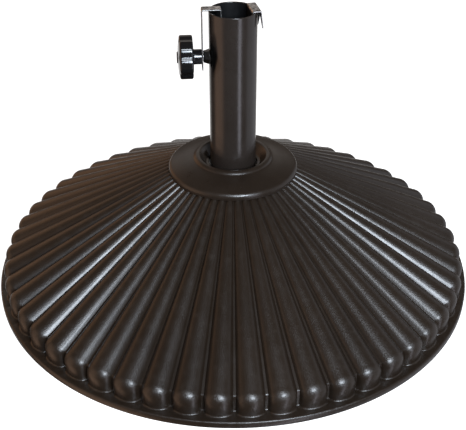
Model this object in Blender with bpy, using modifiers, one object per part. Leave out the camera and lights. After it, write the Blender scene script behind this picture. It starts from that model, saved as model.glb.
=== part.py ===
"""Parasol base: a round fluted resin shell over a cast ballast block, with a steel post
that takes the parasol pole and a hand screw that clamps it.

Metres, +Z up. The origin is the centre of the underside. The hand screw points along -X.
"""

import math

import bmesh
import bpy
from mathutils import Matrix

# ---------------------------------------------------------------- driving dimensions
GAP = 0.0003                    # left between neighbouring solids

BASE_RADIUS = 0.292
LIP_HEIGHT = 0.008              # flat rim around the feet of the flutes
SHELL_THICKNESS = 0.002
FLUTES = 52
FLUTE_PHASE = math.radians(2.27)
GROOVE_HALF_SHARE = 0.04        # half the groove floor, as a share of one flute's pitch
GROOVE_SLOPE = 0.5408           # fall of the groove floors per unit of radius
GROOVE_END_RADIUS = 0.2767
GROOVE_END_HEIGHT = 0.029
CROWN_INNER_RADIUS = 0.031
CROWN_OUTER_RADIUS = 0.060
FLUTE_START_RADIUS = 0.066
FLUTE_START_HEIGHT = 0.0019     # flutes' height over the groove floor under the collar
FLUTE_END_HEIGHT = 0.0071       # and at the shoulder
SHOULDER_CREST_RADIUS = 0.2860
SHOULDER_CREST_HEIGHT = 0.0255
CREST_FOOT_RADIUS = 0.2840
GROOVE_FOOT_RADIUS = 0.2773

PAN_RADIUS = 0.2886
PAN_THICKNESS = 0.003
PAN_ACCESS_RADIUS = 0.020
PAN_SCREWS = 6
PAN_SCREW_CIRCLE = 0.235
PAN_SCREW_HEAD_RADIUS = 0.0045
PAN_SCREW_SHANK_RADIUS = 0.0020
PAN_SCREW_LENGTH = 0.022
PAN_SCREW_RIM = 0.0006          # the countersunk head's cone starts here
PAN_SCREW_NECK = 0.0028         # and ends here

BALLAST_RADIUS = 0.2735
BALLAST_CLEARANCE = 0.0044      # drop of the block below the groove floors
CORE_RECESS_OUTER = 0.218       # ring-shaped recess in the underside, which saves weight
CORE_RECESS_INNER = 0.062
CORE_RECESS_TOP = 0.040
CORE_RECESS_DRAFT = 0.008
ANCHOR_POCKET_RADIUS = 0.022

TUBE_RADIUS = 0.0271
TUBE_WALL = 0.0015
TUBE_BOTTOM = 0.0235
TUBE_TOP = 0.3375
TUBE_LIP_ROUND = 0.0005
CUP_FLOOR = 0.020
CUP_WALL = 0.0018
CUP_TOP = 0.1425
END_PLATE_THICKNESS = 0.005

ANCHOR_SHANK_RADIUS = 0.0050
ANCHOR_HEX_RADIUS = 0.0098      # across corners, halved
ANCHOR_HEAD_HEIGHT = 0.0064
ANCHOR_NUT_HEIGHT = 0.0080
ANCHOR_WASHER_RADIUS = 0.0150
ANCHOR_WASHER_THICKNESS = 0.0020

COLLAR_RADIUS = 0.0772
COLLAR_BORE_RADIUS = 0.0290
COLLAR_NOTCH_ANGLE = math.radians(155)
COLLAR_NOTCH_REACH = 0.0360
COLLAR_NOTCH_WIDTH = 0.0090

SCREW_AXIS_HEIGHT = 0.2842
STUD_RADIUS = 0.0050
STUD_TIP = 0.0145               # reaches inwards from here, measured from the post's axis
BOSS_BASE_RADIUS = 0.0100
BOSS_FACE_RADIUS = 0.0068
BOSS_INNER = 0.0235
BOSS_FACE = 0.0333
NECK_RADIUS = 0.0085
KNOB_RADIUS = 0.0245
KNOB_LOBES = 6
KNOB_PHASE = math.radians(21.6)  # turn of the lobes with the clamp tight
KNOB_LOBE_DEPTH = 0.0032
KNOB_CHAMFER = 0.0018
KNOB_INNER = 0.0449
KNOB_OUTER = 0.0602              # edge of the domed outer face
KNOB_CROWN = 0.0620              # its middle, around the cap
KNOB_CAP_RADIUS = 0.0065
KNOB_CAP_RECESS = 0.0015
KNOB_CAP_THICKNESS = 0.0025

CLIP_THICKNESS = 0.0013
CLIP_WIDTH = 0.0125
CLIP_TOP = 0.3402
CLIP_OUTER = 0.0350
CLIP_INNER = 0.0129
CLIP_OUTER_FOOT = 0.2698
CLIP_INNER_FOOT = 0.2620
CLIP_BEND = 0.0016

ADAPTER_THICKNESS = 0.0012
ADAPTER_WIDTH = 0.0290
ADAPTER_TOP = 0.3388
ADAPTER_OUTER = 0.0293
ADAPTER_INNER = 0.0188
ADAPTER_OUTER_FOOT = 0.3190
ADAPTER_INNER_FOOT = 0.2850
ADAPTER_ANGLE = math.radians(7.3)
ADAPTER_TONGUE_HALF = 0.0068    # half the width of the middle tongue
ADAPTER_NOTCH_TOP = 0.3340
ADAPTER_FLARE = 0.12            # outward lean of the two side tongues
ADAPTER_PRESS = 0.055           # inward lean of the middle tongue

# sides of the round pieces
LARGE_STEPS = 64
TUBE_STEPS = 48
SMALL_STEPS = 16

FINISHES = {
    # name: (linear colour, roughness, metallic)
    "bronze_resin": ((0.040, 0.030, 0.024, 1), 0.40, 0.0),
    "bronze_trim": ((0.040, 0.030, 0.024, 1), 0.33, 0.0),
    "bronze_steel": ((0.036, 0.030, 0.026, 1), 0.34, 0.0),
    "black_paint": ((0.012, 0.011, 0.011, 1), 0.25, 0.0),
    "black_resin": ((0.012, 0.012, 0.013, 1), 0.20, 0.0),
    "dark_steel": ((0.10, 0.10, 0.10, 1), 0.42, 1.0),
    "zinc_steel": ((0.50, 0.50, 0.49, 1), 0.38, 1.0),
    "concrete": ((0.36, 0.35, 0.33, 1), 0.90, 0.0),
    "pan_resin": ((0.020, 0.019, 0.018, 1), 0.55, 0.0),
}


# ---------------------------------------------------------------- scene helpers
def clear_scene():
    for obj in list(bpy.data.objects):
        bpy.data.objects.remove(obj, do_unlink=True)


def new_collection(name):
    collection = bpy.data.collections.new(name)
    bpy.context.scene.collection.children.link(collection)
    return collection


def finish_material(finish):
    material = bpy.data.materials.get(finish)
    if material is None:
        colour, roughness, metallic = FINISHES[finish]
        material = bpy.data.materials.new(finish)
        material.use_nodes = True
        shader = material.node_tree.nodes["Principled BSDF"]
        shader.inputs["Base Color"].default_value = colour
        shader.inputs["Roughness"].default_value = roughness
        shader.inputs["Metallic"].default_value = metallic
        material.diffuse_color = colour
    return material


def add_part(name, mesh, finish):
    """Put a mesh in the parts' collection as a named piece."""
    mesh.name = name
    mesh.materials.clear()
    mesh.materials.append(finish_material(finish))
    obj = bpy.data.objects.new(name, mesh)
    parts.objects.link(obj)
    return obj


def add_cutter(name, mesh):
    obj = bpy.data.objects.new(name, mesh)
    obj.hide_render = True
    obj.display_type = "WIRE"
    cutters.objects.link(obj)
    return obj


def smooth(mesh, angle=35):
    mesh.shade_smooth()
    mesh.set_sharp_from_angle(angle=math.radians(angle))


def evaluated_mesh(obj):
    """The object's mesh with its modifiers carried out."""
    graph = bpy.context.evaluated_depsgraph_get()
    graph.update()
    return bpy.data.meshes.new_from_object(obj.evaluated_get(graph))


def carry_out_modifiers(obj):
    """Swap the object's mesh for its evaluated one."""
    mesh = evaluated_mesh(obj)
    old = obj.data
    obj.modifiers.clear()
    obj.data = mesh
    bpy.data.meshes.remove(old)
    mesh.name = obj.name


# ---------------------------------------------------------------- shape helpers
def turned_mesh(name, profile, steps, closed=False):
    """Turn a profile of (radius, height) points about Z. It runs down its outer side."""
    mesh = bpy.data.meshes.new(name)
    points = [(radius, 0.0, height) for radius, height in profile]
    edges = [(i, i + 1) for i in range(len(points) - 1)]
    if closed:
        edges.append((len(points) - 1, 0))
    mesh.from_pydata(points, edges, [])
    blank = bpy.data.objects.new(name + "_blank", mesh)
    bpy.context.scene.collection.objects.link(blank)
    screw = blank.modifiers.new("turn", "SCREW")
    screw.axis = "Z"
    screw.steps = steps
    screw.render_steps = steps
    screw.use_merge_vertices = True
    screw.merge_threshold = 0.00005
    result = evaluated_mesh(blank)
    bpy.data.objects.remove(blank, do_unlink=True)
    bpy.data.meshes.remove(mesh)
    return result


def prism_mesh(name, radius_1, radius_2, depth, sides, matrix=None):
    """A capped cylinder, cone or hexagon standing on its first end, then placed."""
    mesh = bpy.data.meshes.new(name)
    bm = bmesh.new()
    bmesh.ops.create_cone(bm, cap_ends=True, cap_tris=False, segments=sides,
                          radius1=radius_1, radius2=radius_2, depth=depth)
    bmesh.ops.translate(bm, verts=bm.verts, vec=(0, 0, depth / 2))
    if matrix is not None:
        bm.transform(matrix)
    bm.to_mesh(mesh)
    bm.free()
    return mesh


def box_mesh(name, low, high, matrix=None):
    mesh = bpy.data.meshes.new(name)
    bm = bmesh.new()
    bmesh.ops.create_cube(bm, size=1.0)
    size = [b - a for a, b in zip(low, high)]
    middle = [(a + b) / 2 for a, b in zip(low, high)]
    bm.transform(Matrix.Translation(middle) @ Matrix.Diagonal((*size, 1.0)))
    if matrix is not None:
        bm.transform(matrix)
    bm.to_mesh(mesh)
    bm.free()
    return mesh


def plate_mesh(name, outline, thickness):
    """A flat outline in XY, thickened evenly on both sides of its plane."""
    curve = bpy.data.curves.new(name, "CURVE")
    curve.dimensions = "2D"
    curve.fill_mode = "BOTH"
    curve.extrude = thickness / 2
    spline = curve.splines.new("POLY")
    spline.points.add(len(outline) - 1)
    for point, (x, y) in zip(spline.points, outline):
        point.co = (x, y, 0.0, 1.0)
    spline.use_cyclic_u = True
    blank = bpy.data.objects.new(name + "_blank", curve)
    bpy.context.scene.collection.objects.link(blank)
    mesh = evaluated_mesh(blank)
    bpy.data.objects.remove(blank, do_unlink=True)
    bpy.data.curves.remove(curve)
    bm = bmesh.new()
    bm.from_mesh(mesh)
    bmesh.ops.remove_doubles(bm, verts=bm.verts, dist=0.00001)
    bmesh.ops.recalc_face_normals(bm, faces=bm.faces)
    bm.to_mesh(mesh)
    bm.free()
    return mesh


def combine(obj, tool_name, tool_mesh, operation="DIFFERENCE"):
    """Cut a tool away from the object, or join it on."""
    tool = add_cutter(tool_name, tool_mesh)
    boolean = obj.modifiers.new(tool_name, "BOOLEAN")
    boolean.operation = operation
    boolean.solver = "EXACT"
    boolean.object = tool


def about_screw_axis(distance):
    """Local +Z runs outwards along the hand screw, from this distance off the post's axis."""
    place = Matrix.Translation((-distance, 0, SCREW_AXIS_HEIGHT))
    return place @ Matrix.Rotation(math.radians(-90), 4, "Y")


def arc(centre, radius, start, end, count):
    """Points on an arc, angles in degrees from +X."""
    points = []
    for i in range(count + 1):
        angle = math.radians(start + (end - start) * i / count)
        points.append((centre[0] + radius * math.cos(angle), centre[1] + radius * math.sin(angle)))
    return points


def hanging_strip(inner, outer, top, thickness, inner_foot, outer_foot, bend):
    """Side outline (reach, height) of a strip bent over a tube's rim, legs down."""
    outline = [(inner, inner_foot), (inner + thickness, inner_foot)]
    inside = bend - thickness * 0.6
    under = top - thickness
    outline += arc((inner + thickness + inside, under - inside), inside, 180, 90, 2)
    outline += arc((outer - thickness - inside, under - inside), inside, 90, 0, 2)
    outline += [(outer - thickness, outer_foot), (outer, outer_foot)]
    outline += arc((outer - bend, top - bend), bend, 0, 90, 3)
    outline += arc((inner + bend, top - bend), bend, 90, 180, 3)
    return outline


def groove_height(radius):
    """Height of the groove floors at a radius."""
    return GROOVE_END_HEIGHT + (GROOVE_END_RADIUS - radius) * GROOVE_SLOPE


# ---------------------------------------------------------------- ballast, shell and pan
def shell_rows():
    """Pairs of (groove point, crest point), from the crown down to the rim's edge."""
    tilt = math.atan(GROOVE_SLOPE)
    crown_height = groove_height(CROWN_OUTER_RADIUS)
    rows = []
    for radius in (CROWN_INNER_RADIUS, CROWN_OUTER_RADIUS):
        rows.append(((radius, crown_height), (radius, crown_height)))
    for radius, height in (
        (FLUTE_START_RADIUS, FLUTE_START_HEIGHT),
        (GROOVE_END_RADIUS - 0.0008, FLUTE_END_HEIGHT),
    ):
        floor = groove_height(radius)
        crest = (radius + height * math.sin(tilt), floor + height * math.cos(tilt))
        rows.append(((radius, floor), crest))
    rows.append((
        (GROOVE_FOOT_RADIUS, GROOVE_END_HEIGHT - 0.0035),
        (SHOULDER_CREST_RADIUS, SHOULDER_CREST_HEIGHT),
    ))
    rows.append(((GROOVE_FOOT_RADIUS, LIP_HEIGHT), (CREST_FOOT_RADIUS, LIP_HEIGHT)))
    for height in (LIP_HEIGHT, 0.0):
        rows.append(((BASE_RADIUS, height), (BASE_RADIUS, height)))
    return rows


def make_fluted_shell():
    """Turn the groove line, then raise the columns of points between the grooves."""
    rows = shell_rows()
    columns = (
        (-GROOVE_HALF_SHARE, 0.0),
        (GROOVE_HALF_SHARE, 0.0),
        (0.34, 1.0),
        (0.66, 1.0),
    )
    steps = FLUTES * len(columns)
    mesh = turned_mesh("fluted_shell", [groove for groove, crest in rows], steps)
    pitch = 2 * math.pi / FLUTES
    for vertex in mesh.vertices:
        x, y, z = vertex.co
        radius = math.hypot(x, y)
        column = round((math.atan2(y, x) % (2 * math.pi)) / (2 * math.pi / steps)) % steps
        groove, crest = min(rows, key=lambda row: math.dist(row[0], (radius, z)))
        share, rise = columns[column % len(columns)]
        angle = FLUTE_PHASE + pitch * (column // len(columns) + share)
        radius = groove[0] + (crest[0] - groove[0]) * rise
        height = groove[1] + (crest[1] - groove[1]) * rise
        vertex.co = (radius * math.cos(angle), radius * math.sin(angle), height)
    smooth(mesh, 30)
    shell = add_part("fluted_shell", mesh, "bronze_resin")
    solidify = shell.modifiers.new("thickness", "SOLIDIFY")
    solidify.thickness = SHELL_THICKNESS
    solidify.offset = -1
    solidify.use_even_offset = True


def pan_screw_places():
    for i in range(PAN_SCREWS):
        angle = 2 * math.pi * (i + 0.5) / PAN_SCREWS
        yield PAN_SCREW_CIRCLE * math.cos(angle), PAN_SCREW_CIRCLE * math.sin(angle)


def make_ballast_core():
    """A cast block under the shell, cored out beneath, with the socket's bore and bolt's pocket."""
    bottom = PAN_THICKNESS + GAP
    bore = TUBE_RADIUS + GAP + CUP_WALL + 2 * GAP
    profile = [
        (bore, groove_height(CROWN_OUTER_RADIUS) - BALLAST_CLEARANCE),
        (CROWN_OUTER_RADIUS - 0.002, groove_height(CROWN_OUTER_RADIUS) - BALLAST_CLEARANCE),
        (BALLAST_RADIUS - 0.008, groove_height(BALLAST_RADIUS - 0.008) - BALLAST_CLEARANCE),
        (BALLAST_RADIUS, LIP_HEIGHT + 0.016),
        (BALLAST_RADIUS, bottom),
        (CORE_RECESS_OUTER, bottom),
        (CORE_RECESS_OUTER - CORE_RECESS_DRAFT, CORE_RECESS_TOP),
        (CORE_RECESS_INNER + CORE_RECESS_DRAFT, CORE_RECESS_TOP),
        (CORE_RECESS_INNER, bottom),
        (ANCHOR_POCKET_RADIUS, bottom),
        (ANCHOR_POCKET_RADIUS, CUP_FLOOR - GAP),
        (bore, CUP_FLOOR - GAP),
    ]
    mesh = turned_mesh("ballast_core", profile, LARGE_STEPS, closed=True)
    smooth(mesh)
    ballast = add_part("ballast_core", mesh, "concrete")
    for i, (x, y) in enumerate(pan_screw_places()):
        hole = prism_mesh("screw_hole", PAN_SCREW_SHANK_RADIUS + GAP, PAN_SCREW_SHANK_RADIUS + GAP,
                          PAN_SCREW_LENGTH + 0.001, 8, Matrix.Translation((x, y, 0.0)))
        combine(ballast, f"ballast_hole_{i + 1}", hole)


def make_bottom_pan():
    profile = [
        (PAN_RADIUS, PAN_THICKNESS),
        (PAN_RADIUS, 0.0),
        (PAN_ACCESS_RADIUS, 0.0),
        (PAN_ACCESS_RADIUS, PAN_THICKNESS),
    ]
    pan = add_part("bottom_pan", turned_mesh("bottom_pan", profile, LARGE_STEPS, closed=True), "pan_resin")
    slope = (PAN_SCREW_HEAD_RADIUS - PAN_SCREW_SHANK_RADIUS) / (PAN_SCREW_NECK - PAN_SCREW_RIM)
    below = -0.001
    above = PAN_THICKNESS + 0.0001
    wide, narrow = (PAN_SCREW_HEAD_RADIUS + 2 * GAP - (height - PAN_SCREW_RIM) * slope
                    for height in (below, above))
    for i, (x, y) in enumerate(pan_screw_places()):
        sink = prism_mesh("countersink", wide, narrow, above - below, 12,
                          Matrix.Translation((x, y, below)))
        combine(pan, f"countersink_{i + 1}", sink)


def make_pan_screws():
    """Countersunk screws, heads just inside the underside."""
    profile = [
        (0.0, PAN_SCREW_LENGTH),
        (PAN_SCREW_SHANK_RADIUS, PAN_SCREW_LENGTH - 0.003),
        (PAN_SCREW_SHANK_RADIUS, PAN_SCREW_NECK),
        (PAN_SCREW_HEAD_RADIUS, PAN_SCREW_RIM),
        (PAN_SCREW_HEAD_RADIUS - 0.0002, 0.0003),
        (0.0, 0.0003),
    ]
    mesh = turned_mesh("pan_screw", profile, 12)
    smooth(mesh)
    for i, (x, y) in enumerate(pan_screw_places()):
        screw = add_part(f"pan_screw_{i + 1}", mesh, "zinc_steel")
        screw.location = (x, y, 0.0)


# ---------------------------------------------------------------- post and its anchorage
def make_socket_cup():
    """A steel cup cast into the block. The post stands in it, bolted through its floor."""
    inner = TUBE_RADIUS + 1.5 * GAP
    outer = TUBE_RADIUS + GAP + CUP_WALL
    hole = ANCHOR_SHANK_RADIUS + GAP
    floor_top = TUBE_BOTTOM - GAP
    profile = [
        (outer, CUP_TOP), (outer, CUP_FLOOR), (hole, CUP_FLOOR),
        (hole, floor_top), (inner, floor_top), (inner, CUP_TOP),
    ]
    mesh = turned_mesh("socket_cup", profile, TUBE_STEPS, closed=True)
    smooth(mesh)
    add_part("socket_cup", mesh, "zinc_steel")


def make_post_tube():
    """Open tube with a rounded rim and a clearance hole for the hand screw."""
    inner = TUBE_RADIUS - TUBE_WALL
    rim = TUBE_TOP - TUBE_LIP_ROUND
    profile = [
        (TUBE_RADIUS - TUBE_LIP_ROUND, TUBE_TOP), (TUBE_RADIUS, rim),
        (TUBE_RADIUS, TUBE_BOTTOM), (inner, TUBE_BOTTOM),
        (inner, rim), (inner + TUBE_LIP_ROUND, TUBE_TOP),
    ]
    mesh = turned_mesh("post_tube", profile, TUBE_STEPS, closed=True)
    smooth(mesh)
    tube = add_part("post_tube", mesh, "bronze_steel")
    hole = prism_mesh("post_hole", STUD_RADIUS + 2 * GAP, STUD_RADIUS + 2 * GAP, 0.02,
                      SMALL_STEPS, about_screw_axis(0.018))
    combine(tube, "post_hole", hole)


def make_post_end_plate():
    """Disc welded inside the post's foot, with the anchor bolt's hole."""
    outer = TUBE_RADIUS - TUBE_WALL - GAP
    hole = ANCHOR_SHANK_RADIUS + GAP
    top = TUBE_BOTTOM + END_PLATE_THICKNESS
    profile = [(outer, top), (outer, TUBE_BOTTOM), (hole, TUBE_BOTTOM), (hole, top)]
    mesh = turned_mesh("post_end_plate", profile, TUBE_STEPS, closed=True)
    smooth(mesh)
    add_part("post_end_plate", mesh, "bronze_steel")


def make_anchor():
    """Hexagon bolt from below, its washer under the cup's floor, its nut on the end plate."""
    washer_top = CUP_FLOOR - GAP
    washer_bottom = washer_top - ANCHOR_WASHER_THICKNESS
    head_top = washer_bottom - GAP
    nut_bottom = TUBE_BOTTOM + END_PLATE_THICKNESS + GAP
    shank_top = nut_bottom + ANCHOR_NUT_HEIGHT + 0.003
    head = prism_mesh("anchor_bolt", ANCHOR_HEX_RADIUS, ANCHOR_HEX_RADIUS, ANCHOR_HEAD_HEIGHT, 6,
                      Matrix.Translation((0, 0, head_top - ANCHOR_HEAD_HEIGHT)))
    bolt = add_part("anchor_bolt", head, "zinc_steel")
    shank = prism_mesh("anchor_shank", ANCHOR_SHANK_RADIUS, ANCHOR_SHANK_RADIUS,
                       shank_top - head_top + 0.002, SMALL_STEPS,
                       Matrix.Translation((0, 0, head_top - 0.002)))
    combine(bolt, "anchor_shank", shank, "UNION")

    hole = ANCHOR_SHANK_RADIUS + GAP
    profile = [
        (ANCHOR_WASHER_RADIUS, washer_top), (ANCHOR_WASHER_RADIUS, washer_bottom),
        (hole, washer_bottom), (hole, washer_top),
    ]
    washer = turned_mesh("anchor_washer", profile, 32, closed=True)
    smooth(washer)
    add_part("anchor_washer", washer, "zinc_steel")

    nut_place = Matrix.Translation((0, 0, nut_bottom))
    nut = add_part("anchor_nut", prism_mesh("anchor_nut", ANCHOR_HEX_RADIUS, ANCHOR_HEX_RADIUS,
                                            ANCHOR_NUT_HEIGHT, 6, nut_place), "zinc_steel")
    bore_place = Matrix.Translation((0, 0, nut_bottom - 0.002))
    combine(nut, "anchor_nut_bore", prism_mesh("anchor_nut_bore", hole, hole,
                                               ANCHOR_NUT_HEIGHT + 0.004, SMALL_STEPS, bore_place))


def make_collar_cover():
    """Loose turned trim ring: rolled outer edge, sloping top, raised bead, dished middle."""
    bead_top = 0.1593
    floor = groove_height(CROWN_OUTER_RADIUS) + GAP
    thickness = 0.0024
    profile = [(0.0425, bead_top - 0.0007), (0.0445, bead_top), (0.0466, bead_top - 0.0008)]
    profile += [(0.0486, 0.1571), (0.0610, 0.1526), (0.0715, 0.1483)]
    profile += arc((COLLAR_RADIUS - 0.0030, 0.1440), 0.0030, 60, -10, 3)
    profile += [
        (COLLAR_RADIUS - 0.0003, 0.1401),
        (COLLAR_RADIUS - 0.0019, 0.1410),
        (COLLAR_RADIUS - 0.0030, 0.1432),
        (0.0700, 0.1463),
        (0.0480, 0.1545),
        (0.0440, 0.1553),
        (0.0345, floor),
        (COLLAR_BORE_RADIUS, floor),
        (COLLAR_BORE_RADIUS, floor + thickness * 0.8),
        (0.0325, floor + thickness * 0.9),
        (0.0405, 0.1560),
    ]
    mesh = turned_mesh("collar_cover", profile, LARGE_STEPS, closed=True)
    smooth(mesh, 40)
    collar = add_part("collar_cover", mesh, "bronze_trim")
    turn = Matrix.Rotation(COLLAR_NOTCH_ANGLE, 4, "Z")
    notch = box_mesh("collar_notch", (COLLAR_BORE_RADIUS - 0.005, -COLLAR_NOTCH_WIDTH / 2, floor - 0.003),
                     (COLLAR_NOTCH_REACH, COLLAR_NOTCH_WIDTH / 2, bead_top), turn)
    combine(collar, "collar_notch", notch)


# ---------------------------------------------------------------- the clamp
def make_clamp_boss():
    """Tapered hexagon nut welded to the post, its inner end fitted to the tube."""
    blank = prism_mesh("clamp_boss", BOSS_BASE_RADIUS, BOSS_FACE_RADIUS, BOSS_FACE - BOSS_INNER, 6,
                       about_screw_axis(BOSS_INNER))
    boss = add_part("clamp_boss", blank, "black_paint")
    fit = prism_mesh("boss_fit", TUBE_RADIUS + GAP, TUBE_RADIUS + GAP, 0.05, TUBE_STEPS * 2,
                     Matrix.Translation((0, 0, SCREW_AXIS_HEIGHT - 0.025)))
    combine(boss, "boss_fit", fit)
    bore = prism_mesh("boss_bore", STUD_RADIUS + GAP, STUD_RADIUS + GAP, 0.03, SMALL_STEPS,
                      about_screw_axis(0.015))
    combine(boss, "boss_bore", bore)


def make_clamp_stud():
    """Threaded rod of the hand screw, from the clip's inner leg to deep inside the knob."""
    end = KNOB_OUTER - 0.005
    profile = [
        (0.0, end), (STUD_RADIUS, end), (STUD_RADIUS, STUD_TIP + 0.0010),
        (STUD_RADIUS - 0.0010, STUD_TIP), (0.0, STUD_TIP),
    ]
    mesh = turned_mesh("clamp_stud", profile, SMALL_STEPS)
    smooth(mesh)
    stud = add_part("clamp_stud", mesh, "zinc_steel")
    stud.matrix_world = about_screw_axis(0.0)


def make_knob_body():
    """Lobed hand grip with its neck. Local Z is the screw's axis."""
    bore = STUD_RADIUS + GAP
    bore_end = KNOB_OUTER - 0.005 + GAP
    recess = KNOB_CROWN - KNOB_CAP_RECESS
    neck_face = CLIP_OUTER + GAP
    profile = [
        (0.0, recess),
        (KNOB_CAP_RADIUS + GAP, recess),
        (KNOB_CAP_RADIUS + GAP, KNOB_CROWN),
        ((KNOB_CAP_RADIUS + KNOB_RADIUS) / 2, (KNOB_OUTER + 2 * KNOB_CROWN) / 3),
        (KNOB_RADIUS - KNOB_CHAMFER * 1.6, KNOB_OUTER),
        (KNOB_RADIUS, KNOB_OUTER - KNOB_CHAMFER),
        (KNOB_RADIUS, KNOB_INNER + KNOB_CHAMFER),
        (KNOB_RADIUS - KNOB_CHAMFER * 1.6, KNOB_INNER),
        (NECK_RADIUS, KNOB_INNER),
        (NECK_RADIUS, neck_face),
        (bore, neck_face),
        (bore, bore_end),
        (0.0, bore_end),
    ]
    steps = KNOB_LOBES * 8
    mesh = turned_mesh("knob_body", profile, steps)
    lobed_from = KNOB_RADIUS - KNOB_CHAMFER * 2
    for vertex in mesh.vertices:
        radius = math.hypot(vertex.co.x, vertex.co.y)
        if radius > lobed_from:
            angle = math.atan2(vertex.co.y, vertex.co.x)
            hollow = 1 - abs(math.cos((angle - KNOB_PHASE) * KNOB_LOBES / 2)) ** 0.6
            factor = 1 - KNOB_LOBE_DEPTH * hollow / KNOB_RADIUS
            vertex.co.x *= factor
            vertex.co.y *= factor
    smooth(mesh, 32)
    knob = add_part("knob_body", mesh, "black_resin")
    knob.matrix_world = about_screw_axis(0.0)


def make_knob_cap():
    bottom = KNOB_CROWN - KNOB_CAP_RECESS + GAP
    top = bottom + KNOB_CAP_THICKNESS
    profile = [
        (0.0, top), (KNOB_CAP_RADIUS - 0.0006, top), (KNOB_CAP_RADIUS, top - 0.0006),
        (KNOB_CAP_RADIUS, bottom), (0.0, bottom),
    ]
    mesh = turned_mesh("knob_cap", profile, 24)
    smooth(mesh)
    cap = add_part("knob_cap", mesh, "black_resin")
    cap.matrix_world = about_screw_axis(0.0)


def make_pressure_clip():
    """Strip over the rim: the screw's neck carries its outer leg, its tip the inner one."""
    outline = hanging_strip(CLIP_INNER, CLIP_OUTER, CLIP_TOP, CLIP_THICKNESS,
                            CLIP_INNER_FOOT, CLIP_OUTER_FOOT, CLIP_BEND)
    mesh = plate_mesh("pressure_clip", outline, CLIP_WIDTH)
    mesh.transform(Matrix.Rotation(math.radians(180), 4, "Z") @ Matrix.Rotation(math.radians(90), 4, "X"))
    clip = add_part("pressure_clip", mesh, "dark_steel")
    hole = prism_mesh("clip_hole", STUD_RADIUS + GAP, STUD_RADIUS + GAP, 0.01, SMALL_STEPS,
                      about_screw_axis(0.031))
    combine(clip, "clip_hole", hole)


def make_adapter_clip():
    """Wide strip that packs the far side of the bore, its outer leg cut into three tongues."""
    outline = hanging_strip(ADAPTER_INNER, ADAPTER_OUTER, ADAPTER_TOP, ADAPTER_THICKNESS,
                            ADAPTER_INNER_FOOT, ADAPTER_OUTER_FOOT, CLIP_BEND)
    mesh = plate_mesh("adapter_clip", outline, ADAPTER_WIDTH)
    mesh.transform(Matrix.Rotation(math.radians(90), 4, "X"))
    clip = add_part("adapter_clip", mesh, "dark_steel")
    low = ADAPTER_OUTER_FOOT - 0.002
    for side in (-1, 1):
        notch = plate_mesh("adapter_notch", [
            (side * ADAPTER_TONGUE_HALF, ADAPTER_NOTCH_TOP),
            (side * ADAPTER_TONGUE_HALF * 0.12, low),
            (side * (ADAPTER_WIDTH / 2 - 0.0012), low),
        ], 0.006)
        notch.transform(Matrix.Translation((ADAPTER_OUTER, 0, 0))
                        @ Matrix.Rotation(math.radians(90), 4, "Z")
                        @ Matrix.Rotation(math.radians(90), 4, "X"))
        combine(clip, "adapter_notch_left" if side < 0 else "adapter_notch_right", notch)
    carry_out_modifiers(clip)
    for vertex in clip.data.vertices:
        drop = ADAPTER_NOTCH_TOP - vertex.co.z
        if drop > 0 and vertex.co.x > TUBE_RADIUS:
            middle = abs(vertex.co.y) < ADAPTER_TONGUE_HALF - 0.0001
            vertex.co.x += drop * (-ADAPTER_PRESS if middle else ADAPTER_FLARE)
    clip.rotation_euler = (0, 0, ADAPTER_ANGLE)


# ---------------------------------------------------------------- assembly
clear_scene()
parts = new_collection("parasol_base")
cutters = new_collection("cutters")

make_fluted_shell()
make_ballast_core()
make_bottom_pan()
make_pan_screws()
make_socket_cup()
make_post_tube()
make_post_end_plate()
make_anchor()
make_collar_cover()
make_clamp_boss()
make_clamp_stud()
make_knob_body()
make_knob_cap()
make_pressure_clip()
make_adapter_clip()
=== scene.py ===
"""Looks of a parasol base: a fluted resin shell, a trim collar, a steel post and the hand screw
with its two clips. Metres, +Z up, the hand screw points along -X."""
import math

import bmesh
import bpy
from mathutils import Matrix, Vector


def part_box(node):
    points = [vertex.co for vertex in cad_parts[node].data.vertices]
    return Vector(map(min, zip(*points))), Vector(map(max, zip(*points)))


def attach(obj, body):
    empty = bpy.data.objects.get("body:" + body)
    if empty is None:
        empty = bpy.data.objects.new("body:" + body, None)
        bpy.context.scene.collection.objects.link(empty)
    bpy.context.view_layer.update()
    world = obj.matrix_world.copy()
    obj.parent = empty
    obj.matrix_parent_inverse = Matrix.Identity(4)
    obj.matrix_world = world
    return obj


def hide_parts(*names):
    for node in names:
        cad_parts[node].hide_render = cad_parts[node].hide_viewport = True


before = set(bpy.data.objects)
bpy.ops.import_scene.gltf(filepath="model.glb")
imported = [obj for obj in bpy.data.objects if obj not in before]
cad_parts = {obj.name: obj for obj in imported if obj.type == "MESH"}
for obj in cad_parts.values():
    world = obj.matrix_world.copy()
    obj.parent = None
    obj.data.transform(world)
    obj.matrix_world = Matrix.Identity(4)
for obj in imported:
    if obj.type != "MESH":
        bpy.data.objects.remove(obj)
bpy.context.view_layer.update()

# ---------------------------------------------------------------- sizes
FIT_GAP = 0.0003                # between pieces that touch in the real part
BASE_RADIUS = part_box("fluted_shell")[1].x
LIP_HEIGHT = 0.008
LIP_ROUND = 0.0022
SHELL_THICKNESS = 0.0019
FLUTES = 52
FLUTE_PHASE = math.radians(2.27)
GROOVE_HALF_SHARE = 0.04        # half the groove floor, as a share of one flute's pitch
GROOVE_SLOPE = 0.5479           # fall over run
GROOVE_END_RADIUS = 0.2767      # a point on the line of the groove floors
GROOVE_END_HEIGHT = 0.0275
GROOVE_FOOT_RADIUS = 0.2752     # where the grooves stand upright
GROOVE_SHOULDER = 0.0025        # radius of the groove's turn into the vertical
CROWN_RADII = (0.031, 0.045, 0.060)     # the plain crown under the collar
FLUTE_START_RADIUS = 0.066
FLUTE_START_HEIGHT = 0.0019     # above the groove floors
FLUTE_END_HEIGHT = 0.0084
SHOULDER_CENTRE = (0.2720, 0.0237)
SHOULDER_ROUND = 0.0140
CREST_FOOT_RADIUS = 0.2846
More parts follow.
